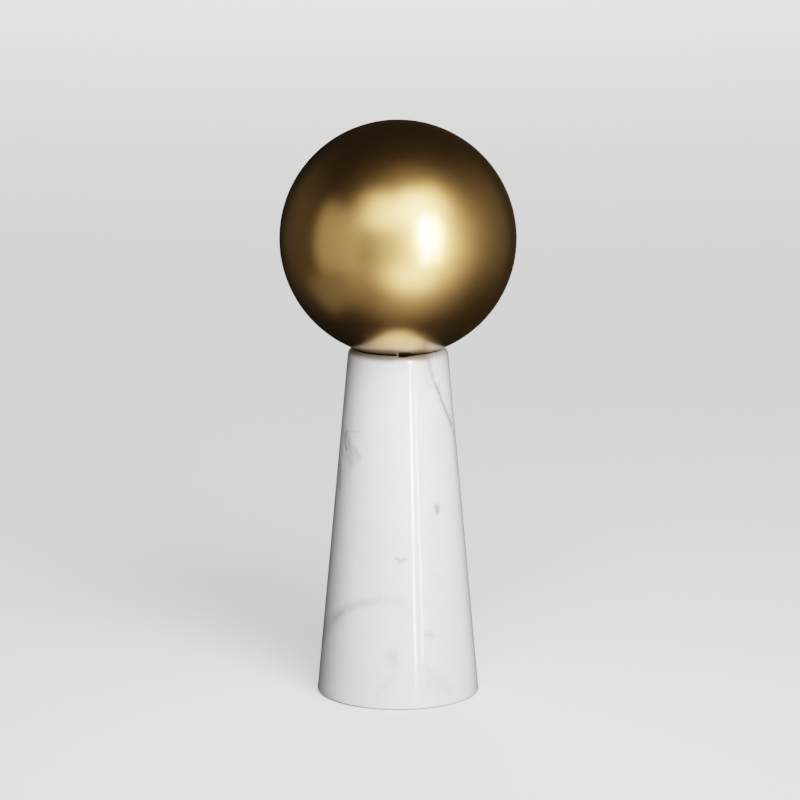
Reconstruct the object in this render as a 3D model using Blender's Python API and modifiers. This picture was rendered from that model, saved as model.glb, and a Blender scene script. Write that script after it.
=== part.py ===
"""Marble cone ornament: a turned marble cone that carries a satin brass ball in a dished seat.

Run it with: blender --background --python part.py
Units are metres and +Z is up. The origin is the centre of the cone's foot.
"""

import math

import bpy

# ---------------------------------------------------------------- driving dimensions
BALL_DIAMETER = 0.120
CONE_HEIGHT = 0.1795  # from the foot to the lip round the seat
FOOT_DIAMETER = 0.0832  # where the side line meets the ground
TOP_DIAMETER = 0.0505  # where the side line meets the lip's plane
ARRIS_RADIUS = 0.0035  # rounding of the top edge
FOOT_RADIUS = 0.0010  # easing of the bottom edge
SEAT_DIAMETER = 0.0438  # the dish's mouth, at the lip's plane
SEAT_GAP = 0.0003  # clearance between the ball and its dished seat

# ---------------------------------------------------------------- smoothness
TURN_STEPS = 96  # facets round the cone
ARC_STEP = math.radians(15)  # longest step of a small rounding
SEAT_RINGS = 5  # rings of facets in the dish
BALL_SEGMENTS = 76
BALL_RINGS = 38
SMOOTH_BELOW = math.radians(30)  # edges that turn less than this are shaded smooth

# ---------------------------------------------------------------- worked out from them
BALL_RADIUS = BALL_DIAMETER / 2
SEAT_RADIUS = BALL_RADIUS + SEAT_GAP  # the dish is a cap of this sphere
SEAT_REACH = math.asin(SEAT_DIAMETER / 2 / SEAT_RADIUS)  # half the angle that the cap spans
BALL_CENTRE_Z = CONE_HEIGHT + SEAT_RADIUS * math.cos(SEAT_REACH)


def new_material(name, colour, roughness, metallic):
    """A Principled material of one colour."""
    material = bpy.data.materials.new(name)
    material.use_nodes = True
    shader = material.node_tree.nodes["Principled BSDF"]
    shader.inputs["Base Color"].default_value = (*colour, 1.0)
    shader.inputs["Roughness"].default_value = roughness
    shader.inputs["Metallic"].default_value = metallic
    return material


def rounded_corner(before, corner, after, radius):
    """Points of the arc that rounds a corner of a profile, in the order they are passed."""
    into = math.atan2(before[1] - corner[1], before[0] - corner[0])
    out = math.atan2(after[1] - corner[1], after[0] - corner[0])
    opening = (out - into + math.pi) % (2 * math.pi) - math.pi
    middle = into + opening / 2
    reach = radius / math.sin(abs(opening) / 2)
    centre = (corner[0] + reach * math.cos(middle), corner[1] + reach * math.sin(middle))
    sweep = math.copysign(math.pi - abs(opening), -opening)
    start = middle + math.pi - sweep / 2
    steps = math.ceil(abs(sweep) / ARC_STEP)
    angles = [start + sweep * i / steps for i in range(steps + 1)]
    return [(centre[0] + radius * math.cos(a), centre[1] + radius * math.sin(a)) for a in angles]


def seat_arc():
    """Points of the dish that holds the ball, from its middle out to the lip."""
    angles = [SEAT_REACH * i / SEAT_RINGS for i in range(SEAT_RINGS + 1)]
    return [
        (SEAT_RADIUS * math.sin(a), BALL_CENTRE_Z - SEAT_RADIUS * math.cos(a)) for a in angles
    ]


def cone_profile():
    """The turned outline, from the dish's middle, over the lip and down to the foot's middle."""
    seat = seat_arc()
    top = (TOP_DIAMETER / 2, CONE_HEIGHT)
    foot = (FOOT_DIAMETER / 2, 0.0)
    centre = (0.0, 0.0)
    arris = rounded_corner(seat[-1], top, foot, ARRIS_RADIUS)
    easing = rounded_corner(top, foot, centre, FOOT_RADIUS)
    return seat + arris + easing + [centre]


def turned(name, profile, steps):
    """A solid of revolution about Z, made by a Screw modifier on its profile."""
    mesh = bpy.data.meshes.new(name)
    edges = [(i, i + 1) for i in range(len(profile) - 1)]
    mesh.from_pydata([(x, 0.0, z) for x, z in profile], edges, [])
    piece = bpy.data.objects.new(name, mesh)
    screw = piece.modifiers.new("turn", "SCREW")
    screw.axis = "Z"
    screw.angle = 2 * math.pi
    screw.steps = steps
    screw.render_steps = steps
    screw.use_merge_vertices = True
    screw.merge_threshold = 0.00001
    screw.use_smooth_shade = True
    return piece


def make_cone(collection):
    """The marble cone: one turned solid with a dished seat in its top."""
    cone = turned("marble_cone", cone_profile(), TURN_STEPS)
    cone.data.materials.append(new_material("marble", (0.86, 0.86, 0.85), 0.12, 0.0))
    collection.objects.link(cone)
    return cone


def make_ball(collection, cone):
    """The brass ball, resting in the cone's seat."""
    bpy.ops.mesh.primitive_uv_sphere_add(
        segments=BALL_SEGMENTS, ring_count=BALL_RINGS, radius=BALL_RADIUS
    )
    ball = bpy.context.object
    ball.name = "brass_ball"
    ball.data.name = "brass_ball"
    for holder in list(ball.users_collection):
        holder.objects.unlink(ball)
    collection.objects.link(ball)
    ball.parent = cone
    ball.location = (0.0, 0.0, BALL_CENTRE_Z)
    ball.data.shade_smooth()
    ball.data.set_sharp_from_angle(angle=SMOOTH_BELOW)
    ball.data.materials.append(new_material("satin_brass", (0.78, 0.57, 0.27), 0.32, 1.0))
    return ball


def main():
    """Clears the scene and builds the ornament in its own collection."""
    for old in list(bpy.data.objects):
        bpy.data.objects.remove(old)
    collection = bpy.data.collections.new("marble_cone_ornament")
    bpy.context.scene.collection.children.link(collection)
    cone = make_cone(collection)
    make_ball(collection, cone)


main()
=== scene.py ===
"""Dresses the marble cone ornament: a polished marble cone that carries a satin brass ball.

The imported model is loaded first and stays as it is. Each solid is then replaced by a finer piece in the
same place: a cone turned from one outline, with veined and polished marble, and a ball in satin brass.
Lengths are metres, angles are degrees unless a name says otherwise, and the front is towards -Y.
"""

from __future__ import annotations

import logging
import math
from dataclasses import dataclass
from enum import Enum
from functools import cached_property
from typing import Any, Callable, ClassVar, Mapping, Sequence, Union

import bpy
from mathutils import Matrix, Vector


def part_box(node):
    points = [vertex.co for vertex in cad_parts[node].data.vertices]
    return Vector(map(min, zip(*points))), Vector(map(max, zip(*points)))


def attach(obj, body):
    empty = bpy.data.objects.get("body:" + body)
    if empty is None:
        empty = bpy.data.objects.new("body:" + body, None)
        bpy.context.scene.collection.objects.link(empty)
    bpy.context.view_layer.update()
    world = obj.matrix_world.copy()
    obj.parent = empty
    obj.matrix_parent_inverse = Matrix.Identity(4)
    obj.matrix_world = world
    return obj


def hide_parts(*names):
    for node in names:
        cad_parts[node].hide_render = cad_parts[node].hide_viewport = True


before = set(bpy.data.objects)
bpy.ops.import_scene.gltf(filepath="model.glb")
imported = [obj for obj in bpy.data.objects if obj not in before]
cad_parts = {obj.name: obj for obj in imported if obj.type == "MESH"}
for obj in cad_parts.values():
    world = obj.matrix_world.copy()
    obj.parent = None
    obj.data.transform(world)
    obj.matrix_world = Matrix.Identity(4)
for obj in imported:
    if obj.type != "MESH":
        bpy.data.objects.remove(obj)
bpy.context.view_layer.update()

log = logging.getLogger("marble_cone_ornament")

BODY = "root"
SEAT = "seat"
MM = 0.001

Point = tuple[float, float]
Colour = tuple[float, float, float]
Number = Union[float, "Signal"]


class CadNode(Enum):
    """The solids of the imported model."""

    CONE = "marble_cone"
    BALL = "brass_ball"


class Slot(Enum):
    """The material slots."""

    MARBLE = "marble"
    BRASS = "satin_brass"


# ---- node trees written as expressions
def operator(operation: str, swapped: bool = False) -> Callable[[Signal, Number], Signal]:
    """Makes an arithmetic operator of Signal.

    Args:
        operation: The Math node's operation.
        swapped: Whether the other value comes first, as in 1.0 - signal.

    Returns:
        The operator's method.
    """

    def apply(signal: Signal, other: Number) -> Signal:
        """The result, as the output of a new Math node."""
        values = (other, signal) if swapped else (signal, other)
        return signal.graph.maths(operation, *values)

    return apply


@dataclass(frozen=True)
class Signal:
    """An output socket of a node tree. Arithmetic on it adds the nodes that do it."""

    graph: Graph
    socket: bpy.types.NodeSocket

    __add__, __radd__ = operator("ADD"), operator("ADD", swapped=True)
    __sub__, __rsub__ = operator("SUBTRACT"), operator("SUBTRACT", swapped=True)
    __mul__, __rmul__ = operator("MULTIPLY"), operator("MULTIPLY", swapped=True)
    __truediv__, __rtruediv__ = operator("DIVIDE"), operator("DIVIDE", swapped=True)
    __pow__ = operator("POWER")

    def __abs__(self) -> Signal:
        """The size without its sign."""
        return self.graph.maths("ABSOLUTE", self)


class Graph:
    """A shader or geometry node tree that is built by code."""

    def __init__(self, tree: bpy.types.NodeTree) -> None:
        """Starts with an empty tree.

        Args:
            tree: The node tree to fill. What it holds is removed.
        """
        self.tree = tree
        tree.nodes.clear()

    @cached_property
    def place(self) -> Signal:
        """The place on the piece, or the direction in a world."""
        return self.out(self.node("ShaderNodeTexCoord"), "Object")

    def node(
        self,
        kind: str,
        settings: Mapping[str, Any] | None = None,
        inputs: Mapping[str | int, Any] | None = None,
    ) -> bpy.types.Node:
        """Adds one node of any type.

        Args:
            kind: The node's type, such as ShaderNodeTexNoise.
            settings: The node's own settings, set first.
            inputs: What goes into its sockets, by name or number: a Signal or a plain value.

        Returns:
            The new node.
        """
        made = self.tree.nodes.new(kind)
        for name, value in (settings or {}).items():
            setattr(made, name, value)
        for name, value in (inputs or {}).items():
            if isinstance(value, Signal):
                self.tree.links.new(value.socket, made.inputs[name])
            else:
                made.inputs[name].default_value = value
        return made

    def out(self, node: bpy.types.Node, name: str | int = 0) -> Signal:
        """One output of a node, as a Signal."""
        return Signal(self, node.outputs[name])

    def maths(self, operation: str, *values: Number, clamp: bool = False) -> Signal:
        """Adds a Math node.

        Args:
            operation: The Math node's operation.
            values: Up to three numbers or Signals.
            clamp: Whether the result is kept from 0 to 1.

        Returns:
            The result.
        """
        settings = {"operation": operation, "use_clamp": clamp}
        return self.out(self.node("ShaderNodeMath", settings, dict(enumerate(values))))

    def vector(self, operation: str, *values: Any) -> Signal:
        """Adds a Vector Math node.

        Args:
            operation: The Vector Math node's operation.
            values: Vectors or Signals. SCALE takes a vector and then its factor.

        Returns:
            The result: a number for a length, a distance or a dot product, and otherwise a vector.
        """
        inputs: dict[str | int, Any] = dict(enumerate(values))
        if operation == "SCALE":
            inputs = {0: values[0], "Scale": values[1]}
        node = self.node("ShaderNodeVectorMath", {"operation": operation}, inputs)
        gives_number = operation in ("LENGTH", "DISTANCE", "DOT_PRODUCT")
        return self.out(node, "Value" if gives_number else "Vector")

    def combine(self, x: Number, y: Number, z: Number) -> Signal:
        """A vector from its three parts."""
        return self.out(self.node("ShaderNodeCombineXYZ", None, {"X": x, "Y": y, "Z": z}))

    def split(self, vector: Signal) -> tuple[Signal, Signal, Signal]:
        """The three parts of a vector."""
        node = self.node("ShaderNodeSeparateXYZ", None, {0: vector})
        return self.out(node, "X"), self.out(node, "Y"), self.out(node, "Z")

    def rise(self, value: Number, low: float, high: float) -> Signal:
        """A smooth step from 0 to 1 as value goes from low to high; it falls where low is the larger."""
        settings = {"interpolation_type": "SMOOTHSTEP"}
        ends = (low, high, 0.0, 1.0) if low < high else (high, low, 1.0, 0.0)
        inputs: dict[str | int, Any] = {"Value": value}
        inputs.update(zip(("From Min", "From Max", "To Min", "To Max"), ends))
        return self.out(self.node("ShaderNodeMapRange", settings, inputs))

    def noise(
        self,
        scale: float,
        detail: float = 2.0,
        where: Signal | None = None,
        output: str | int = 0,
        **more: float,
    ) -> Signal:
        """Adds a noise texture.

        Args:
            scale: Its repeats in a metre.
            detail: Its finer layers.
            where: The place that it is read at, which is the place on the piece where none is given.
            output: The output that is used.
            more: Other sockets, such as Roughness or Distortion.

        Returns:
            The noise.
        """
        inputs = {"Vector": where or self.place, "Scale": scale, "Detail": detail, **more}
        return self.out(self.node("ShaderNodeTexNoise", {"noise_dimensions": "3D"}, inputs), output)

    def mix(self, factor: Number, first: Signal | Colour, second: Signal | Colour) -> Signal:
        """A blend of two colours.

        Args:
            factor: 0 gives the first and 1 the second.
            first: A colour.
            second: A colour.

        Returns:
            The blended colour.
        """
        ends = [c if isinstance(c, Signal) else (*c, 1.0) for c in (first, second)]
        # The Mix node has hidden sockets for its other data types: 0 is the factor, 6 and 7 the colours.
        settings = {"data_type": "RGBA", "blend_type": "MIX", "clamp_factor": True}
        node = self.node("ShaderNodeMix", settings, {0: factor, 6: ends[0], 7: ends[1]})
        return self.out(node, 2)


def shader_graph(material: bpy.types.Material) -> Graph:
    """The empty node tree of a material."""
    material.use_nodes = True
    return Graph(material.node_tree)


def linked(name: str, data: bpy.types.ID) -> bpy.types.Object:
    """A new object in the scene."""
    made = bpy.data.objects.new(name, data)
    bpy.context.scene.collection.objects.link(made)
    return made


# ---- finishes
def stroke_group() -> bpy.types.NodeTree:
    """A node group that shades one straight stroke of a vein, made once and used for all of them."""
    name = "vein_stroke"
    if name in bpy.data.node_groups:
        return bpy.data.node_groups[name]
    tree = bpy.data.node_groups.new(name, "ShaderNodeTree")
    graph = Graph(tree)
    for label in ("Spot", "Start", "Run"):
        tree.interface.new_socket(label, in_out="INPUT", socket_type="NodeSocketVector")
    for label in ("Run Squared", "Fade"):
        tree.interface.new_socket(label, in_out="INPUT", socket_type="NodeSocketFloat")
    tree.interface.new_socket("Shade", in_out="OUTPUT", socket_type="NodeSocketFloat")
    given = graph.node("NodeGroupInput")
    spot = graph.vector("MULTIPLY", graph.out(given, "Spot"), (1.0, 1.0, 0.0))
    from_start = graph.vector("SUBTRACT", spot, graph.out(given, "Start"))
    run = graph.out(given, "Run")
    along = graph.vector("DOT_PRODUCT", from_start, run)
    share = graph.maths("DIVIDE", along, graph.out(given, "Run Squared"), clamp=True)
    away = graph.vector("DISTANCE", from_start, graph.vector("SCALE", run, share))
    near = graph.maths("SUBTRACT", 1.0, away / graph.out(given, "Fade"), clamp=True)
    graph.node("NodeGroupOutput", None, {"Shade": near * near * (3.0 - 2.0 * near)})
    return tree


class Tint(Enum):
    """The colours of what runs through the marble."""

    GREY = (0.17, 0.17, 0.178)
    OLIVE = (0.27, 0.265, 0.19)


@dataclass(frozen=True)
class Vein:
    """A run of mineral that shows on the cone's side.

    Attributes:
        path: Where it runs, as degrees round from the front, positive to the right, and height in mm.
        width: Half its width, in mm.
        strength: How far it takes the stone towards its tint.
        ragged: How far its line wanders, in mm.
        broken: How much of it is lost between its grains, from 0 to 1.
        tint: Its colour.
    """

    path: tuple[Point, ...]
    width: float
    strength: float
    ragged: float
    broken: float = 0.4
    tint: Tint = Tint.GREY

    def copies(self) -> list[tuple[Point, ...]]:
        """Its path, and the same path one turn round where it passes the back."""
        turns = [0]
        if max(degrees for degrees, _ in self.path) > 150:
            turns.append(-360)
        if min(degrees for degrees, _ in self.path) < -150:
            turns.append(360)
        return [tuple((degrees + turn, height) for degrees, height in self.path) for turn in turns]


@dataclass(frozen=True)
class PolishedMarble:
    """Near-white marble with soft grey veins, polished.

    Attributes:
        foot_radius: The cone's radius where its side line meets the ground.
        taper: How much the radius falls for each metre of height.
        seat_height: The height of the centre of the round seat in the top.
        seat_radius: The seat's radius.
        white: The stone's colour where it is clear.
        cloud: Its colour where it is a little cloudy.
        painted_edge_shade: The colour painted on the edge round the seat, as painted shade under the ball
            and a painted reflection of the brass.
        painted_seam_shade: The dark colour painted where the stone meets the ball, as shade in the gap
            between them.
        unlit: The black painted on the seat, out of sight under the ball, and in its chip, as shade where
            no light reaches.
        glint_spot: The middle of a white spot beside the chip, painted as a glint.
        honed_and_shaded_band: How far from the seat the edge's painted shade, and its rougher finish, is
            whole, and how far it fades out.
        seam_shade_band: How far from the seat the painted shade of the gap is whole, and how far it fades
            out.
        glint_spot_band: How far from its middle the painted glint is whole, and how far it fades out.
        veins: What runs through it.
    """

    foot_radius: float
    taper: float
    seat_height: float
    seat_radius: float
    white: Colour = (0.872, 0.87, 0.87)
    cloud: Colour = (0.79, 0.79, 0.797)
    painted_edge_shade: Colour = (0.21, 0.178, 0.138)
    painted_seam_shade: Colour = (0.05, 0.032, 0.02)
    unlit: Colour = (0.012, 0.007, 0.005)
    glint_spot: tuple[float, float, float] = (-0.0003, -0.0224, 0.1795)
    honed_and_shaded_band: Point = (0.0020, 0.0049)
    seam_shade_band: Point = (0.0001, 0.0006)
    glint_spot_band: Point = (0.0003, 0.0007)
    veins: tuple[Vein, ...] = (
        # the dark vein that leaves the lip on the right and runs on round the back
        Vein(((35, 180), (38, 172), (43, 166), (50, 159)), 1.6, 0.62, 1.6, 0.25),
        Vein(((31, 178), (33, 170), (38, 163)), 1.8, 0.22, 1.4, 0.3),
        Vein(((45, 164), (54, 155), (61, 148), (72, 141)), 1.1, 0.9, 1.6, 0.25),
        Vein(((48, 163), (56, 153), (66, 142)), 2.4, 0.4, 2.5, 0.4),
        Vein(((72, 141), (81, 133), (88, 123), (95, 112), (103, 104), (112, 97)), 0.85, 0.65, 1.4),
        Vein(((112, 97), (120, 92), (129, 85), (140, 75), (151, 65), (165, 58)), 0.75, 0.55, 1.6),
        Vein(((66, 150), (72, 136), (77, 118)), 2.4, 0.24, 2.2, 0.5),
        # the hook on the left, with its olive smudge
        Vein(((-41, 140.5), (-53, 140), (-64, 138.5)), 0.6, 0.3, 0.8, 0.5),
        Vein(((-64, 138.5), (-67, 136), (-66, 132.5), (-63, 130.5)), 0.65, 0.6, 1.0, 0.3),
        Vein(((-64, 131.5), (-61, 129.3)), 0.7, 0.97, 0.3, 0.1),
        Vein(((-63, 136), (-57, 130), (-53, 124)), 3.6, 0.5, 2.5, 0.35, Tint.OLIVE),
        Vein(((-58, 131), (-49, 130.5), (-43, 127)), 2.6, 0.5, 2.5, 0.3, Tint.OLIVE),
        Vein(((-72, 119), (-70, 110)), 2.4, 0.42, 2.0),
        Vein(((-78, 101), (-84, 93), (-96, 86)), 1.0, 0.45, 2.0),
        # the arch low on the left
        Vein(((-96, 20), (-76, 32), (-63, 40), (-53, 46)), 4.6, 0.24, 3.0, 0.3, Tint.OLIVE),
        Vein(((-58, 43), (-44, 49.5), (-30, 53.8), (-16, 57.2)), 2.6, 0.36, 1.6, 0.2),
        Vein(((-16, 57.2), (0, 57), (7, 52.5), (12, 47)), 3.2, 0.17, 2.0, 0.25),
        # small marks
        Vein(((37.7, 102.6), (38.3, 99.4)), 1.7, 0.8, 0.5, 0.3),
        Vein(((-2.0, 77.4), (1.5, 76.3), (5.8, 76.7)), 1.1, 0.6, 0.8, 0.45),
        Vein(((0.8, 75.9), (2.8, 75.8)), 1.3, 0.6, 0.3, 0.3),
        Vein(((21.5, 38.4), (26.5, 37.8)), 1.9, 0.4, 1.0, 0.4),
        Vein(((-4.8, 27.8), (-3.0, 25.2)), 4.4, 0.36, 1.8, 0.25),
        Vein(((31, 68), (40, 62)), 2.6, 0.10, 2.0, 0.3),
        # faint lines at the foot
        Vein(((19, 22), (25, 17.4), (33, 12), (41, 5.5)), 2.4, 0.2, 2.0, 0.3),
        Vein(((25, 17.4), (22, 12), (18, 7)), 2.6, 0.17, 1.5, 0.3),
        Vein(((26, 13), (33, 8)), 4.5, 0.12, 2.0, 0.3),
        Vein(((-3.5, 17), (-14, 8)), 2.2, 0.14, 1.0, 0.3),
        # the back
        Vein(((-98, 150), (-112, 145.5), (-124, 143.5), (-137, 138), (-150, 136)), 0.55, 0.6, 1.2),
        Vein(((-108, 147), (-124, 143), (-138, 137.5), (-156, 134)), 2.6, 0.2, 1.8, 0.3),
        Vein(((-150, 136), (-163, 132), (-176, 131)), 0.8, 0.3, 1.2, 0.5),
        Vein(((-124, 143), (-130, 136), (-132, 127)), 3.2, 0.4, 2.4, 0.35, Tint.OLIVE),
        Vein(((-156, 43), (-143, 49), (-128, 52), (-113, 51), (-102, 45)), 2.8, 0.24, 1.6),
        Vein(((120, 93), (138, 78), (151, 66), (165, 57), (178, 49), (190, 37)), 3.4, 0.16, 2.2),
        Vein(((165, 58), (176, 51), (186, 43), (194, 32), (198, 21)), 0.8, 0.42, 1.4, 0.5),
        Vein(((165, 58), (172, 60), (180, 66)), 0.6, 0.26, 1.2, 0.5),
        Vein(((122, 92), (132, 93.5), (141, 92), (150, 94)), 0.6, 0.4, 1.2, 0.5),
        Vein(((166, 150), (172, 143), (175, 135)), 2.2, 0.26, 1.4, 0.35),
        Vein(((-170, 86), (-165, 84.6), (-161, 85)), 1.1, 0.5, 0.6, 0.45),
        Vein(((108, 37), (111, 35)), 3.2, 0.32, 1.0),
        Vein(((132, 22), (139, 17), (147, 13.5)), 2.2, 0.2, 1.0),
        Vein(((-120, 20), (-127, 12)), 3.4, 0.2, 1.0),
    )

    def material(self) -> bpy.types.Material:
        """The finish as a material."""
        made = bpy.data.materials.new("polished_marble")
        graph = shader_graph(made)
        colour = self._stone(graph)
        spot, grains = self._unrolled_side(graph)
        for tint in Tint:
            colour = graph.mix(self._mask(graph, spot, grains, tint), colour, tint.value)
        colour, hidden, honed_and_shaded = self._lip(graph, colour)
        wavy = {"Strength": 1.0, "Distance": 0.00006, "Height": graph.noise(60.0, 1.0)}
        shader = graph.node(
            "ShaderNodeBsdfPrincipled",
            None,
            {
                "Base Color": colour,
                "Roughness": 0.07 + 0.05 * graph.noise(40.0) + honed_and_shaded * 0.3,
                "IOR": 1.5,
                "Subsurface Weight": 0.08,
                "Subsurface Radius": (1.0, 0.9, 0.8),
                "Subsurface Scale": 0.0015,
                "Coat Weight": 0.5 - honed_and_shaded * 0.45,
                "Coat Roughness": 0.03,
                "Normal": graph.out(graph.node("ShaderNodeBump", None, wavy)),
            },
        )
        # The seat and its chip are painted black as shade, where no light reaches.
        painted_black = graph.node("ShaderNodeBsdfDiffuse", None, {"Color": (*self.unlit, 1.0)})
        inputs = {"Fac": hidden, 1: graph.out(shader), 2: graph.out(painted_black)}
        mixed = graph.out(graph.node("ShaderNodeMixShader", None, inputs))
        graph.node("ShaderNodeOutputMaterial", None, {"Surface": mixed})
        return made

    def _stone(self, graph: Graph) -> Signal:
        """The clear stone: broad clouds, faint veils and the sugary grain of its crystals.

        Args:
            graph: The material's tree.

        Returns:
            The colour.
        """
        broad = graph.noise(16.0, 3.0, Roughness=0.55)
        veil = graph.noise(22.0, 4.0, Roughness=0.6, Distortion=0.8)
        ridge = graph.rise(abs(veil - 0.5), 0.035, 0.0)
        grain = graph.noise(1400.0, 1.0)
        amount = graph.rise(broad, 0.45, 0.75) * 0.6 + ridge * 0.35 + (grain - 0.5) * 0.3
        return graph.mix(amount, self.white, self.cloud)

    def _unrolled_side(self, graph: Graph) -> tuple[Signal, Signal]:
        """The cone's side laid flat, in mm, and the noise that breaks up what is drawn on it.

        Args:
            graph: The material's tree.

        Returns:
            The place on the flat side, and the noise.
        """
        x, y, z = graph.split(graph.place)
        radius = (self.foot_radius - self.taper * z) / MM
        around = graph.maths("ARCTAN2", x, 0.0 - y) * radius
        fine = graph.noise(420.0, 2.0, output="Color")
        jitter = graph.vector("SCALE", graph.vector("SUBTRACT", fine, (0.5, 0.5, 0.5)), 0.55)
        spot = graph.vector("ADD", graph.combine(around, z / MM, 0.0), jitter)
        return spot, graph.noise(700.0, 3.0, Roughness=0.65)

    def _mask(self, graph: Graph, spot: Signal, grains: Signal, tint: Tint) -> Signal:
        """How strongly the veins of one tint show.

        Args:
            graph: The material's tree.
            spot: The place on the flat side, in mm.
            grains: The noise that breaks the veins up.
            tint: The tint of the veins.

        Returns:
            The mask, from 0 to 1.
        """
        wander = graph.noise(0.055, 3.0, spot, "Color")
        centred = graph.vector("SUBTRACT", wander, (0.5, 0.5, 0.5))
        gaps = graph.rise(grains, 0.42, 0.6)
        stroke = stroke_group()
        total: Signal = gaps * 0.0001
        for vein in self.veins:
            if vein.tint is not tint:
                continue
            # Each vein waits for the one before it, which keeps few values waiting at any one time.
            reach = graph.maths("MULTIPLY_ADD", total, 0.0001, vein.ragged * 3.0)
            moved = graph.vector("ADD", spot, graph.vector("SCALE", centred, reach))
            kept = (1.0 - gaps * vein.broken) * vein.strength
            for path in vein.copies():
                for start, end in zip(path, path[1:]):
                    shade = self._stroke(graph, stroke, moved, (start, end), vein.width)
                    total = graph.maths("MAXIMUM", total, shade * kept)
        return total

    def _stroke(
        self,
        graph: Graph,
        group: bpy.types.NodeTree,
        spot: Signal,
        ends: tuple[Point, Point],
        width: float,
    ) -> Signal:
        """One straight length of a vein.

        Args:
            graph: The material's tree.
            group: The node group that shades one stroke.
            spot: The place on the flat side, in mm.
            ends: Where the length starts and ends, in degrees round and mm up.
            width: Half its width, in mm.

        Returns:
            1 along its middle, and 0 away from it.
        """
        (x0, z0), (x1, z1) = self._unrolled(ends[0]), self._unrolled(ends[1])
        run = (x1 - x0, z1 - z0, 0.0)
        inputs = {
            "Spot": spot,
            "Start": (x0, z0, 0.0),
            "Run": run,
            "Run Squared": run[0] ** 2 + run[1] ** 2,
            "Fade": width * 1.6,
        }
        return graph.out(graph.node("ShaderNodeGroup", {"node_tree": group}, inputs))

    def _unrolled(self, point: Point) -> Point:
        """A place on the side, in mm round and mm up."""
        degrees, height = point
        radius = self.foot_radius / MM - self.taper * height
        return math.radians(degrees) * radius, height

    def _lip(self, graph: Graph, colour: Signal) -> tuple[Signal, Signal, Signal]:
        """The edge round the seat with its painted shade, the painted shade of the gap at the ball, and a
        painted glint by the chip.

        Args:
            graph: The material's tree.
            colour: The stone's colour.

        Returns:
            The colour with the edge's painted shade, the gap's painted shade and the painted glint in it, a
            mask that is 1 in the seat and its chip, and a mask of the edge's painted shade and rougher
            finish.
        """
        away = graph.vector("DISTANCE", graph.place, (0.0, 0.0, self.seat_height)) - self.seat_radius
        uneven = graph.noise(160.0, 3.0) - 0.5
        # The painted shade of the edge and of the seam is lighter to the right, where the light falls.
        across = graph.split(graph.place)[0]
        # The edge is darkened and warmed as painted shade under the ball and a painted reflection of the
        # brass; the same mask makes it rougher.
        honed_and_shaded = graph.rise(away + uneven * 0.0016, *reversed(self.honed_and_shaded_band))
        honed_and_shaded = honed_and_shaded * (1.0 - 0.6 * graph.rise(across, 0.012, 0.023))
        # The dark line where the ball meets the stone is painted shade in the gap.
        seam_shade = graph.rise(away + uneven * 0.0006, *reversed(self.seam_shade_band))
        seam_shade = seam_shade * (1.0 - 0.7 * graph.rise(across, 0.007, 0.017))
        # A white spot beside the chip is a painted glint.
        from_glint_spot = graph.vector("DISTANCE", graph.place, self.glint_spot)
        glint_spot = graph.rise(from_glint_spot, *reversed(self.glint_spot_band))
        flag = graph.out(graph.node("ShaderNodeAttribute", {"attribute_name": SEAT}), "Fac")
        hidden = graph.rise(flag, 0.12, 0.3)
        painted_seam_shade = graph.mix(seam_shade, graph.mix(honed_and_shaded, colour, self.painted_edge_shade), self.painted_seam_shade)
        return graph.mix(hidden, graph.mix(glint_spot, painted_seam_shade, self.white), self.unlit), hidden, honed_and_shaded


@dataclass(frozen=True)
class SatinBrass:
    """Brass with a satin finish under clear lacquer.

    Attributes:
        seat_height: The height of the lip that the ball rests in.
        bright: Its colour where it is clean.
        warm: Its colour where it has darkened a little.
        low_shade: The darker colour painted low on the ball by the seat, as shade.
        low_shade_band: How far above the lip the painted shade is whole, and how far it fades out.
        roughness: How satin it is.
    """

    seat_height: float
    bright: Colour = (0.84, 0.484, 0.159)
    warm: Colour = (0.77, 0.425, 0.13)
    low_shade: Colour = (0.36, 0.236, 0.1)
    low_shade_band: Point = (0.002, 0.016)
    roughness: float = 0.225

    def material(self) -> bpy.types.Material:
        """The finish as a material."""
        made = bpy.data.materials.new("satin_brass")
        graph = shader_graph(made)
        tarnish = graph.rise(graph.noise(28.0, 4.0), 0.4, 0.7)
        # Low down by the seat the ball is painted darker, as shade.
        above_lip = graph.split(graph.place)[2] - self.seat_height
        under = graph.rise(above_lip, *reversed(self.low_shade_band))
        brushed = graph.noise(260.0, 3.0)
        grain = graph.noise(2600.0, 1.0)
        fine = {"Strength": 0.4, "Distance": 0.000004, "Height": grain}
        shader = graph.node(
            "ShaderNodeBsdfPrincipled",
            None,
            {
                "Base Color": graph.mix(under, graph.mix(tarnish, self.bright, self.warm), self.low_shade),
                "Metallic": 1.0,
                "Roughness": self.roughness + (brushed - 0.5) * 0.03 + tarnish * 0.008,
                "Coat Weight": 0.12,
                "Coat Roughness": 0.22,
                "Normal": graph.out(graph.node("ShaderNodeBump", None, fine)),
            },
        )
        graph.node("ShaderNodeOutputMaterial", None, {"Surface": graph.out(shader)})
        return made


# ---- geometry node pieces
class TreeInput(Enum):
    """The kinds of input that a geometry node tree takes."""

    COUNT = "NodeSocketInt"
    NUMBER = "NodeSocketFloat"
    VECTOR = "NodeSocketVector"
    MATERIAL = "NodeSocketMaterial"


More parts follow.
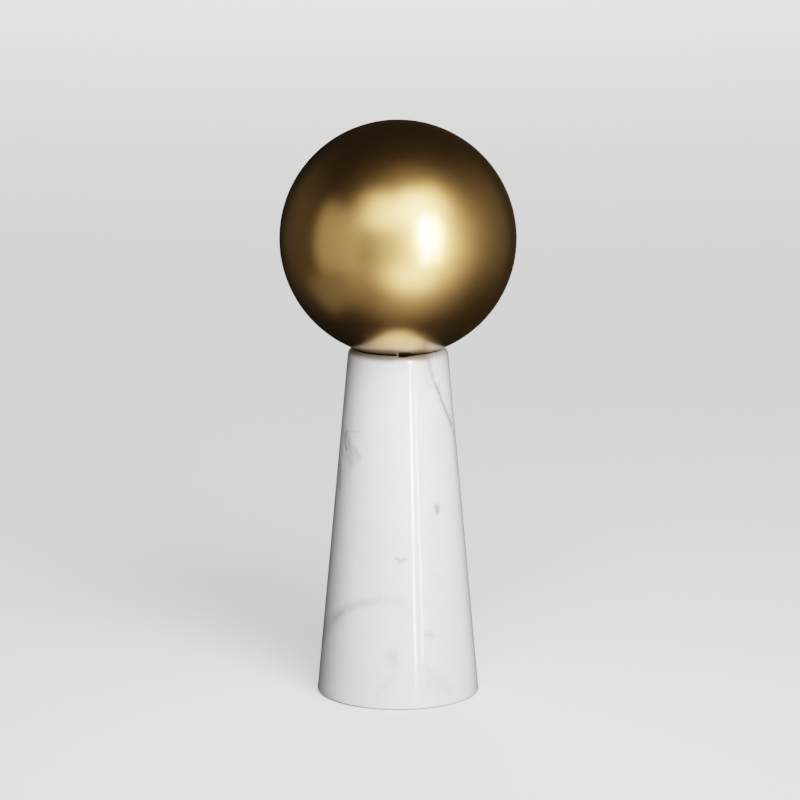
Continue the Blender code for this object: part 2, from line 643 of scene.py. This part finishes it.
class Recipe(Graph):
    """A geometry node tree with named inputs, which makes one piece."""

    def __init__(self, name: str, inputs: Mapping[str, tuple[TreeInput, Any]]) -> None:
        """Makes the tree and its inputs.

        Args:
            name: The tree's name.
            inputs: The kind and the value of each named input.
        """
        tree = bpy.data.node_groups.new(name, "GeometryNodeTree")
        super().__init__(tree)
        tree.interface.new_socket("Geometry", in_out="INPUT", socket_type="NodeSocketGeometry")
        tree.interface.new_socket("Geometry", in_out="OUTPUT", socket_type="NodeSocketGeometry")
        self.values = {key: value for key, (_, value) in inputs.items()}
        for key, (kind, _) in inputs.items():
            tree.interface.new_socket(key, in_out="INPUT", socket_type=kind.value)
        self.given = self.node("NodeGroupInput")

    def take(self, name: str) -> Signal:
        """One of the tree's inputs."""
        return self.out(self.given, name)

    def close(self, geometry: Signal) -> None:
        """Ends the tree.

        Args:
            geometry: The finished shape.
        """
        real = self.out(self.node("GeometryNodeRealizeInstances", None, {"Geometry": geometry}))
        inputs = {"Geometry": real, "Material": self.take("Material")}
        dressed = self.out(self.node("GeometryNodeSetMaterial", None, inputs))
        self.node("NodeGroupOutput", None, {"Geometry": dressed})

    def cook(self, name: str, seed_points: Sequence[tuple[float, float, float]]) -> bpy.types.Object:
        """Runs the tree and keeps its result as a plain mesh.

        Args:
            name: The piece's name.
            seed_points: The points that the tree starts from.

        Returns:
            The piece, at the origin, with no modifier.
        """
        start = bpy.data.meshes.new(name + "_start")
        start.from_pydata(seed_points, [], [])
        piece = linked(name, start)
        modifier = piece.modifiers.new("recipe", "NODES")
        modifier.node_group = self.tree
        for item in self.tree.interface.items_tree:
            if item.in_out == "INPUT" and item.name in self.values:
                modifier[item.identifier] = self.values[item.name]
        evaluated = piece.evaluated_get(bpy.context.evaluated_depsgraph_get())
        mesh = bpy.data.meshes.new_from_object(evaluated)
        piece.modifiers.remove(modifier)
        piece.data = mesh
        mesh.name = name
        bpy.data.meshes.remove(start)
        return piece


@dataclass
class TurnedCone:
    """The marble cone, turned from one outline.

    Attributes:
        height: From the foot to the lip round the seat.
        ball_radius: The radius of the ball that it carries.
        ball_height: The height of the ball's centre.
        foot_radius: Where the side line meets the ground.
        top_radius: Where the side line meets the lip's plane.
        arris: The rounding of the top edge.
        easing: The rounding of the foot's edge.
        seat_gap: The clearance between the ball and its dish.
        segments: The facets round it.
        chip_start: Where the chip in the lip starts, in degrees round from the front.
        chip_end: Where the chip ends.
        chip_depth: How deep the chip is where it starts.
        chip_reach: How far the chip reaches from the lip's inner edge.
        chip_taper: The share of its reach that the chip loses by its end.
    """

    height: float
    ball_radius: float
    ball_height: float
    foot_radius: float = 0.0416
    top_radius: float = 0.02525
    arris: float = 0.0035
    easing: float = 0.0010
    seat_gap: float = 0.0003
    segments: int = 480
    chip_start: float = 1.0
    chip_end: float = 24.0
    chip_depth: float = 0.0017
    chip_reach: float = 0.0020
    chip_taper: float = 0.8
    # The outline's runs: the dish's broad steps end at this share of its reach, and its last few steps, by
    # the lip, are left out of the seat's painted black shade.
    DISH_SPLIT: ClassVar[float] = 0.85
    SEAT_STEPS: ClassVar[int] = 14
    LIP_STEPS: ClassVar[int] = 12
    CLEAN_LIP_STEPS: ClassVar[int] = 4
    ARRIS_STEPS: ClassVar[int] = 18
    SIDE_STEPS: ClassVar[int] = 36
    FOOT_STEPS: ClassVar[int] = 12
    SOLE_STEPS: ClassVar[int] = 10
    # Points closer than this are one, and edges sharper than this stay sharp.
    WELD: ClassVar[float] = 0.000001
    SHARP_DEGREES: ClassVar[float] = 35

    @property
    def taper(self) -> float:
        """How much the radius falls for each metre of height."""
        return (self.foot_radius - self.top_radius) / self.height

    def _arc(self, centre: Point, radius: float, start: float, end: float, steps: int) -> list[Point]:
        """Points along an arc of the outline.

        Args:
            centre: The arc's centre, as distance from the axis and height.
            radius: Its radius.
            start: The angle where it starts, in radians.
            end: The angle where it ends.
            steps: Its steps.

        Returns:
            The points, both ends included.
        """
        angles = [start + (end - start) * i / steps for i in range(steps + 1)]
        return [(centre[0] + radius * math.cos(a), centre[1] + radius * math.sin(a)) for a in angles]

    def outline(self) -> list[Point]:
        """The outline, from the middle of the dish, over the lip and down to the foot's middle."""
        lean = math.atan(self.taper)
        dish_radius = self.ball_radius + self.seat_gap
        lip_drop = self.ball_height - self.height
        dish_reach = math.acos(lip_drop / dish_radius)
        down = -math.pi / 2
        bend = down + self.DISH_SPLIT * dish_reach
        dish = self._arc((0.0, self.ball_height), dish_radius, down, bend, self.SEAT_STEPS)
        dish += self._arc((0.0, self.ball_height), dish_radius, bend, down + dish_reach, self.LIP_STEPS)[1:]
        arris_centre = (self.arris_start(), self.height - self.arris)
        arris = self._arc(arris_centre, self.arris, math.pi / 2, lean, self.ARRIS_STEPS)
        foot_reach = (math.pi / 2 + lean) / 2
        foot_centre = (self.foot_radius - self.easing * math.tan(foot_reach), self.easing)
        foot = self._arc(foot_centre, self.easing, lean, down, self.FOOT_STEPS)
        side = self._between(arris[-1], foot[0], self.SIDE_STEPS)
        sole = self._between(foot[-1], (0.0, 0.0), self.SOLE_STEPS)
        return [(0.0, dish[0][1])] + dish[1:] + arris + side + foot + sole + [(0.0, 0.0)]

    @staticmethod
    def _between(start: Point, end: Point, steps: int) -> list[Point]:
        """The points inside a straight run, without its ends."""
        shares = [i / steps for i in range(1, steps)]
        return [(start[0] + (end[0] - start[0]) * t, start[1] + (end[1] - start[1]) * t) for t in shares]

    def recipe(self, finish: bpy.types.Material) -> Recipe:
        """The tree that turns the outline about the axis and chips the lip.

        Args:
            finish: The marble.

        Returns:
            The tree.
        """
        dark_steps = self.SEAT_STEPS + self.LIP_STEPS - self.CLEAN_LIP_STEPS
        made = Recipe(
            "turn_on_a_lathe",
            {
                "Segments": (TreeInput.COUNT, self.segments),
                "Lip Radius": (TreeInput.NUMBER, self.arris_start()),
                "Lip Height": (TreeInput.NUMBER, self.height),
                "Seat Points": (TreeInput.COUNT, dark_steps),
                "Chip Start": (TreeInput.NUMBER, math.radians(self.chip_start)),
                "Chip End": (TreeInput.NUMBER, math.radians(self.chip_end)),
                "Chip Depth": (TreeInput.NUMBER, self.chip_depth),
                "Chip Reach": (TreeInput.NUMBER, self.chip_reach),
                "Chip Taper": (TreeInput.NUMBER, self.chip_taper),
                "Material": (TreeInput.MATERIAL, finish),
            },
        )
        outline = made.take("Geometry")
        size = made.node("GeometryNodeAttributeDomainSize", {"component": "MESH"}, {"Geometry": outline})
        count = made.out(size, "Point Count")
        segments = made.take("Segments")
        sheet = made.node("GeometryNodeMeshGrid", None, {"Vertices X": segments + 1.0, "Vertices Y": count})
        index = made.out(made.node("GeometryNodeInputIndex"))
        turn = made.maths("FLOOR", index / count)
        along = index - turn * count
        position = made.out(made.node("GeometryNodeInputPosition"))
        read = made.node(
            "GeometryNodeSampleIndex",
            {"data_type": "FLOAT_VECTOR", "domain": "POINT"},
            {"Geometry": outline, "Value": position, "Index": along},
        )
        radius, _, height = made.split(made.out(read))
        angle = turn / segments * (2 * math.pi)
        chipped = self._chip(made, angle, radius, height)
        lowered = height - chipped * made.take("Chip Depth")
        # The angle is counted from the front, so sine gives X and minus cosine gives Y.
        x = radius * made.maths("SINE", angle)
        y = radius * made.maths("COSINE", angle) * -1.0
        inputs = {"Geometry": made.out(sheet, "Mesh"), "Position": made.combine(x, y, lowered)}
        turned = made.out(made.node("GeometryNodeSetPosition", None, inputs))
        # The seat and the chip are marked for the marble's painted black shade.
        inside = made.maths("LESS_THAN", along + 0.5, made.take("Seat Points"))
        hidden = made.maths("MAXIMUM", inside, chipped)
        inputs = {"Geometry": turned, "Name": SEAT, "Value": hidden}
        marked = made.out(made.node("GeometryNodeStoreNamedAttribute", {"data_type": "FLOAT"}, inputs))
        inputs = {"Geometry": marked, "Distance": self.WELD}
        welded = made.out(made.node("GeometryNodeMergeByDistance", None, inputs))
        made.close(self._smoothed(made, welded))
        return made

    def arris_start(self) -> float:
        """The radius at which the top edge starts to round over."""
        return self.top_radius - self.arris * math.tan((math.pi / 2 - math.atan(self.taper)) / 2)

    def _chip(self, made: Recipe, angle: Signal, radius: Signal, height: Signal) -> Signal:
        """How much of the chip's depth a point of the lip loses.

        Args:
            made: The tree.
            angle: The point's angle round from the front, in radians.
            radius: Its distance from the axis.
            height: Its height.

        Returns:
            The share, from 0 to 1.
        """
        start, end = made.take("Chip Start"), made.take("Chip End")
        share = (angle - start) / (end - start)
        inside = made.maths("GREATER_THAN", share, 0.0) * made.maths("LESS_THAN", share, 1.0)
        depth = inside * (1.0 - share * inside) ** 0.9
        across = radius - made.take("Lip Radius")
        down = height - made.take("Lip Height")
        reach = made.take("Chip Reach") * (1.0 - made.take("Chip Taper") * (share * inside) ** 2.0)
        away = made.maths("SQRT", across * across + down * down) / reach
        near = made.maths("SUBTRACT", 1.0, away * away, clamp=True)
        return depth * near

    def _smoothed(self, made: Recipe, geometry: Signal) -> Signal:
        """Smooth shading, with the sharp edges of the lip kept.

        Args:
            made: The tree.
            geometry: The shape.

        Returns:
            The shape with its shading set.
        """
        edge = made.out(made.node("GeometryNodeInputMeshEdgeAngle"), "Unsigned Angle")
        sharp = made.maths("GREATER_THAN", edge, math.radians(self.SHARP_DEGREES))
        smooth = made.node("GeometryNodeSetShadeSmooth", {"domain": "FACE"}, {"Geometry": geometry})
        inputs = {"Geometry": made.out(smooth), "Selection": sharp, "Shade Smooth": False}
        return made.out(made.node("GeometryNodeSetShadeSmooth", {"domain": "EDGE"}, inputs))

    def build(self) -> bpy.types.Object:
        """Makes the cone and puts it in the place of its solid."""
        seat_radius = self.ball_radius + self.seat_gap
        finish = PolishedMarble(self.foot_radius, self.taper, self.ball_height, seat_radius).material()
        points = [(x, 0.0, z) for x, z in self.outline()]
        piece = self.recipe(finish).cook("polished_cone", points)
        return dressed(piece, CadNode.CONE, Slot.MARBLE)


@dataclass
class BrassBall:
    """The brass ball that rests in the cone's seat.

    Attributes:
        radius: Its radius.
        height: The height of its centre.
        seat_height: The height of the lip that it rests in.
        subdivisions: How finely it is made.
    """

    radius: float
    height: float
    seat_height: float
    subdivisions: int = 7

    def build(self) -> bpy.types.Object:
        """Makes the ball and puts it in the place of its solid."""
        made = Recipe(
            "spun_ball",
            {
                "Radius": (TreeInput.NUMBER, self.radius),
                "Subdivisions": (TreeInput.COUNT, self.subdivisions),
                "Centre": (TreeInput.VECTOR, (0.0, 0.0, self.height)),
                "Material": (TreeInput.MATERIAL, SatinBrass(self.seat_height).material()),
            },
        )
        inputs = {"Radius": made.take("Radius"), "Subdivisions": made.take("Subdivisions")}
        ball = made.out(made.node("GeometryNodeMeshIcoSphere", None, inputs), "Mesh")
        inputs = {"Geometry": ball, "Translation": made.take("Centre")}
        placed = made.out(made.node("GeometryNodeTransform", None, inputs))
        smooth = made.node("GeometryNodeSetShadeSmooth", {"domain": "FACE"}, {"Geometry": placed})
        made.close(made.out(smooth))
        piece = made.cook("spun_ball", [(0.0, 0.0, 0.0)])
        return dressed(piece, CadNode.BALL, Slot.BRASS)


def dressed(piece: bpy.types.Object, node: CadNode, slot: Slot) -> bpy.types.Object:
    """Puts a finished piece in the place of a solid.

    Args:
        piece: The finished piece.
        node: The solid that it stands for.
        slot: Not used.

    Returns:
        The piece.
    """
    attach(piece, BODY)
    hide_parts(node.value)
    return piece


# ---- the studio
class Reach(Enum):
    """What a light acts on: whether it lights dull surfaces, and whether glossy ones mirror it."""

    LIT = (True, False)
    MIRRORED = (False, True)


@dataclass(frozen=True)
class Softbox:
    """A soft light that faces the ball.

    Attributes:
        name: What it is called.
        azimuth: Degrees round from the front, positive to the right.
        elevation: Degrees above the ball's centre.
        width: How wide it looks from the ball, in degrees.
        tall: How tall it looks from the ball, in degrees.
        radiance: How bright its face is.
        reach: What it acts on.
        distance: How far it stands from the ball.
        feather: The share of its face, from the edge inwards, over which it fades out.
    """

    name: str
    azimuth: float
    elevation: float
    width: float
    tall: float
    radiance: float
    reach: Reach
    distance: float = 1.6
    feather: float = 0.0

    def build(self, target: Vector) -> None:
        """Makes the light.

        Args:
            target: The point that it faces.
        """
        light = bpy.data.lights.new(self.name, "AREA")
        light.shape = "RECTANGLE"
        light.size = 2 * self.distance * math.tan(math.radians(self.width) / 2)
        light.size_y = 2 * self.distance * math.tan(math.radians(self.tall) / 2)
        light.energy = self.radiance * math.pi * light.size * light.size_y
        if self.feather:
            self._feathered(light)
        made = linked(self.name, light)
        azimuth, elevation = math.radians(self.azimuth), math.radians(self.elevation)
        level = math.cos(elevation)
        away = Vector((math.sin(azimuth) * level, -math.cos(azimuth) * level, math.sin(elevation)))
        made.location = target + away * self.distance
        made.rotation_euler = away.to_track_quat("Z", "Y").to_euler()
        made.visible_camera = False
        made.visible_diffuse, made.visible_glossy = self.reach.value

    def _feathered(self, light: bpy.types.Light) -> None:
        """Makes the face fade out towards its edge, as a round cloud of light.

        Args:
            light: The light.
        """
        light.use_nodes = True
        graph = Graph(light.node_tree)
        spot = graph.out(graph.node("ShaderNodeNewGeometry"), "Parametric")
        away = graph.vector("DISTANCE", spot, (0.5, 0.5, 0.0)) * 2.0
        strength = graph.rise(away, 1.0, 1.0 - self.feather)
        emission = graph.node("ShaderNodeEmission", None, {"Strength": strength})
        graph.node("ShaderNodeOutputLight", None, {"Surface": graph.out(emission)})


@dataclass(frozen=True)
class Glow:
    """A soft patch of light in the dim room.

    Attributes:
        name: What it is called.
        azimuth: Degrees round from the front, positive to the right.
        elevation: Degrees above the level.
        width: Degrees from its middle to where it fades, sideways.
        tall: Degrees from its middle to where it fades, upward.
        radiance: How bright its middle is.
        squareness: 2 for a soft cloud, and more for a patch with clearer edges.
    """

    name: str
    azimuth: float
    elevation: float
    width: float
    tall: float
    radiance: float
    squareness: float = 2.0

    def shade(self, graph: Graph, azimuth: Signal, elevation: Signal) -> Signal:
        """How bright it makes one direction.

        Args:
            graph: The room's tree.
            azimuth: The direction's degrees round from the front.
            elevation: Its degrees above the level.

        Returns:
            The radiance.
        """
        sideways = abs(graph.maths("WRAP", azimuth - self.azimuth, 180.0, -180.0)) / self.width
        upward = abs(elevation - self.elevation) / self.tall
        far = sideways**self.squareness + upward**self.squareness
        return graph.maths("EXPONENT", 0.0 - far) * self.radiance


@dataclass
class Studio:
    """The floor, the lights, the surroundings and the film.

    Attributes:
        target: The point that the lights face.
        floor_radius: The radius of the flat floor.
        sweep: The radius of the curve from the floor up to the backdrop.
        backdrop: The height of the backdrop above the curve.
        floor_colour: The floor's colour.
        ambient: How bright the darkest parts of the room are.
        glow: How much light the floor gives off by itself, which keeps it pale out to the backdrop.
        lights: The soft lights.
        room: The soft glows of the dim room.
    """

    target: Vector
    floor_radius: float = 3.4
    sweep: float = 1.2
    backdrop: float = 1.5
    floor_colour: Colour = (0.70, 0.695, 0.685)
    ambient: float = 0.006
    glow: float = 0.42
    lights: tuple[Softbox, ...] = (
        Softbox("window_pane", 28.8, 11.8, 3.2, 24.0, 172.0, Reach.MIRRORED),
        Softbox("window_light", 26, 12, 20, 24, 24.0, Reach.LIT, 4.2),
        Softbox("window_glare", 28.8, 11.8, 2.8, 23.6, 253.0, Reach.MIRRORED, 1.58),
        Softbox("window_pane_low", 26.4, -6.2, 3.0, 4.6, 100.0, Reach.MIRRORED),
        Softbox("window_pane_foot", 25.6, -10.8, 3.0, 4.6, 52.0, Reach.MIRRORED),
        Softbox("window_second_pane", 38, 12.0, 3.2, 26.0, 32.0, Reach.MIRRORED),
        Softbox("window_second_low", 37, -8.5, 3.0, 9.0, 26.0, Reach.MIRRORED),
        Softbox("key_fill", 14, 39, 62, 28, 3.9, Reach.LIT, 4.2),
        Softbox("near_fill", 17, 44, 38, 30, 23.0, Reach.LIT, 0.45),
        Softbox("front_fill", 12, 14, 68, 26, 1.7, Reach.LIT, 4.2),
        Softbox("left_fill", -85, 18, 60, 32, 0.6, Reach.LIT, 4.2),
        Softbox("back_fill", 180, 24, 44, 40, 6.2, Reach.LIT, 4.2),
        # Cards close behind the ball show only in its back: from the front, the rim sees past them.
        Softbox("back_card", 175, 3, 97, 78, 0.55, Reach.MIRRORED, 0.07, 0.95),
        Softbox("back_card_core", 164, 10, 50, 60, 0.75, Reach.MIRRORED, 0.07, 0.95),
    )
    room: tuple[Glow, ...] = (
        Glow("upper_front", 30, 39, 26, 15, 4.3, 3.0),
        Glow("upper_left", -3, 34, 33, 16, 3.3, 3.0),
        Glow("front", 23, 8, 46, 37, 1.28),
        Glow("window_wall", 30, -6, 25, 26, 1.9),
        Glow("ceiling", 15, 72, 60, 14, 0.05),
        Glow("left_wall", -61, 3, 26, 27, 0.42, 6.0),
        Glow("left_floor", -75, -38, 38, 14, 0.15, 4.0),
        Glow("left_table", -33, -27, 22, 13, 0.18, 3.0),
        Glow("table", 12, -28, 22, 14, 3.5),
        Glow("near_table", 6, -56, 54, 19, 0.28),
        Glow("right_wall", 112, 5, 26, 30, 0.065, 3.0),
        Glow("left_corner", -118, 0, 28, 32, 0.052, 3.0),
    )
    FLOOR_RINGS: ClassVar[tuple[float, ...]] = (0.0001, 0.3, 0.8, 1.6)
    FLOOR_SIDES: ClassVar[int] = 96
    SWEEP_STEPS: ClassVar[int] = 12

    def build(self) -> None:
        """Makes all of it."""
        self._floor()
        for light in self.lights:
            light.build(self.target)
        self._room()
        bpy.context.scene.view_settings.view_transform = "Filmic"

    def _room(self) -> None:
        """The dim room round the set, which only glossy surfaces mirror."""
        world = bpy.data.worlds.new("dim_room")
        bpy.context.scene.world = world
        world.use_nodes = True
        world.cycles_visibility.diffuse = False
        graph = Graph(world.node_tree)
        x, y, z = graph.split(graph.place)
        azimuth = graph.maths("ARCTAN2", x, 0.0 - y) * math.degrees(1.0)
        elevation = graph.maths("ARCSINE", z) * math.degrees(1.0)
        total: Signal = elevation * 0.0 + self.ambient
        for glow in self.room:
            total = total + glow.shade(graph, azimuth, elevation)
        inputs = {"Color": (1.0, 1.0, 1.0, 1.0), "Strength": total}
        background = graph.node("ShaderNodeBackground", None, inputs)
        graph.node("ShaderNodeOutputWorld", None, {"Surface": graph.out(background)})

    def _floor(self) -> None:
        """The pale floor, which sweeps up to a backdrop far from the ornament on every side."""
        finish = bpy.data.materials.new("pale_floor")
        finish.cycles.emission_sampling = "NONE"
        graph = shader_graph(finish)
        inputs = {
            "Base Color": (*self.floor_colour, 1.0),
            "Roughness": 0.7,
            "Specular IOR Level": 0.0,
            "Emission Color": (*self.floor_colour, 1.0),
            "Emission Strength": self.glow,
        }
        shader = graph.node("ShaderNodeBsdfPrincipled", None, inputs)
        graph.node("ShaderNodeOutputMaterial", None, {"Surface": graph.out(shader)})
        mesh = self._floor_mesh()
        mesh.materials.append(finish)
        floor = linked("pale_floor", mesh)
        # The ball doesn't mirror it, and it sheds no light or shadow on the ornament.
        floor.visible_glossy = False
        floor.visible_diffuse = False
        floor.visible_shadow = False

    def _floor_mesh(self) -> bpy.types.Mesh:
        """The flat floor, the curve up from its edge and the backdrop above the curve, as one mesh."""
        outline = [(r, 0.0) for r in (*self.FLOOR_RINGS, self.floor_radius)]
        for i in range(1, self.SWEEP_STEPS + 1):
            a = math.pi / 2 * i / self.SWEEP_STEPS
            outline.append((self.floor_radius + self.sweep * math.sin(a), self.sweep * (1 - math.cos(a))))
        outline.append((self.floor_radius + self.sweep, self.sweep + self.backdrop))
        sides = self.FLOOR_SIDES
        turns = [2 * math.pi * k / sides for k in range(sides)]
        points = [(r * math.cos(a), r * math.sin(a), z) for r, z in outline for a in turns]
        faces = []
        for i in range(len(outline) - 1):
            for k in range(sides):
                n = (k + 1) % sides
                faces.append((i * sides + k, (i + 1) * sides + k, (i + 1) * sides + n, i * sides + n))
        mesh = bpy.data.meshes.new("pale_floor")
        mesh.from_pydata(points, [], faces)
        mesh.shade_smooth()
        return mesh


@dataclass(frozen=True)
class Viewpoint:
    """The camera.

    Attributes:
        distance: How far in front of the axis it stands.
        height: How high it stands.
        aim_height: The height on the axis that it looks at.
        lens: Its focal length in millimetres.
        shift: Its sideways shift.
        film: The width of its film in millimetres.
        reach: How far it sees.
    """

    distance: float = 1.933
    height: float = 0.554
    aim_height: float = 0.15225
    lens: float = 174.26
    shift: float = 0.0025
    film: float = 36.0
    reach: float = 30.0

    def build(self) -> None:
        """Makes the camera and uses it."""
        lens = bpy.data.cameras.new("camera")
        lens.lens = self.lens
        lens.sensor_width = self.film
        lens.shift_x = self.shift
        lens.clip_end = self.reach
        made = linked("camera", lens)
        made.location = (0.0, -self.distance, self.height)
        down = math.atan2(self.height - self.aim_height, self.distance)
        made.rotation_euler = (math.pi / 2 - down, 0.0, 0.0)
        bpy.context.scene.camera = made


def main() -> None:
    """Builds the ornament, the studio and the camera."""
    logging.basicConfig(level=logging.INFO, format="%(name)s: %(message)s")
    ball_low, ball_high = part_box(CadNode.BALL.value)
    cone_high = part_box(CadNode.CONE.value)[1]
    radius = (ball_high.z - ball_low.z) / 2
    centre = (ball_high + ball_low) / 2
    Viewpoint().build()
    for part in (TurnedCone(cone_high.z, radius, centre.z), BrassBall(radius, centre.z, cone_high.z)):
        piece = part.build()
        log.info("%s: %d faces", piece.name, len(piece.data.polygons))
    Studio(centre).build()


if __name__ == "__main__":
    main()
